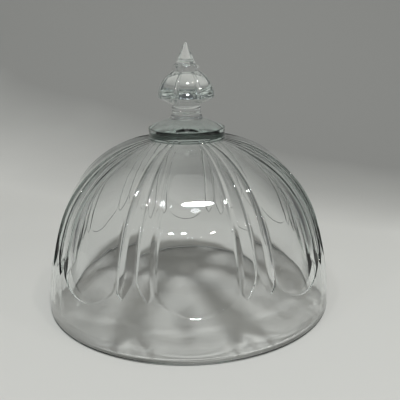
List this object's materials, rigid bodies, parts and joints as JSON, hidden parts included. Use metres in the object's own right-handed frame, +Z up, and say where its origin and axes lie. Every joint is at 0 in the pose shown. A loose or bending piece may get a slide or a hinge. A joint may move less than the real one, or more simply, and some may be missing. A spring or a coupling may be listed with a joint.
{
  "type": "cake stand dome",
  "caption": "Clear pressed-glass dome that covers a cake stand: petalled wall, plain band above a flat rim, round collar with a conical top, and a solid petalled knob ending in a spire",
  "frame": {"origin": "on the dome's axis, in the plane of the flat rim that it stands on", "axes": "+Z up along the dome's axis to the spire, -Y towards the front petal"},
  "size_m": [0.28, 0.2798, 0.2518],
  "materials": {
    "shell_glass": "clear pressed glass, fire polished",
    "knob_glass": "clear pressed glass, fire polished",
    "clear_bond": "clear cured bond"
  },
  "bodies": {
    "root": {"dome_shell": "shell_glass", "finial": "knob_glass", "finial_bond": "clear_bond"}
  },
  "joints": []
}
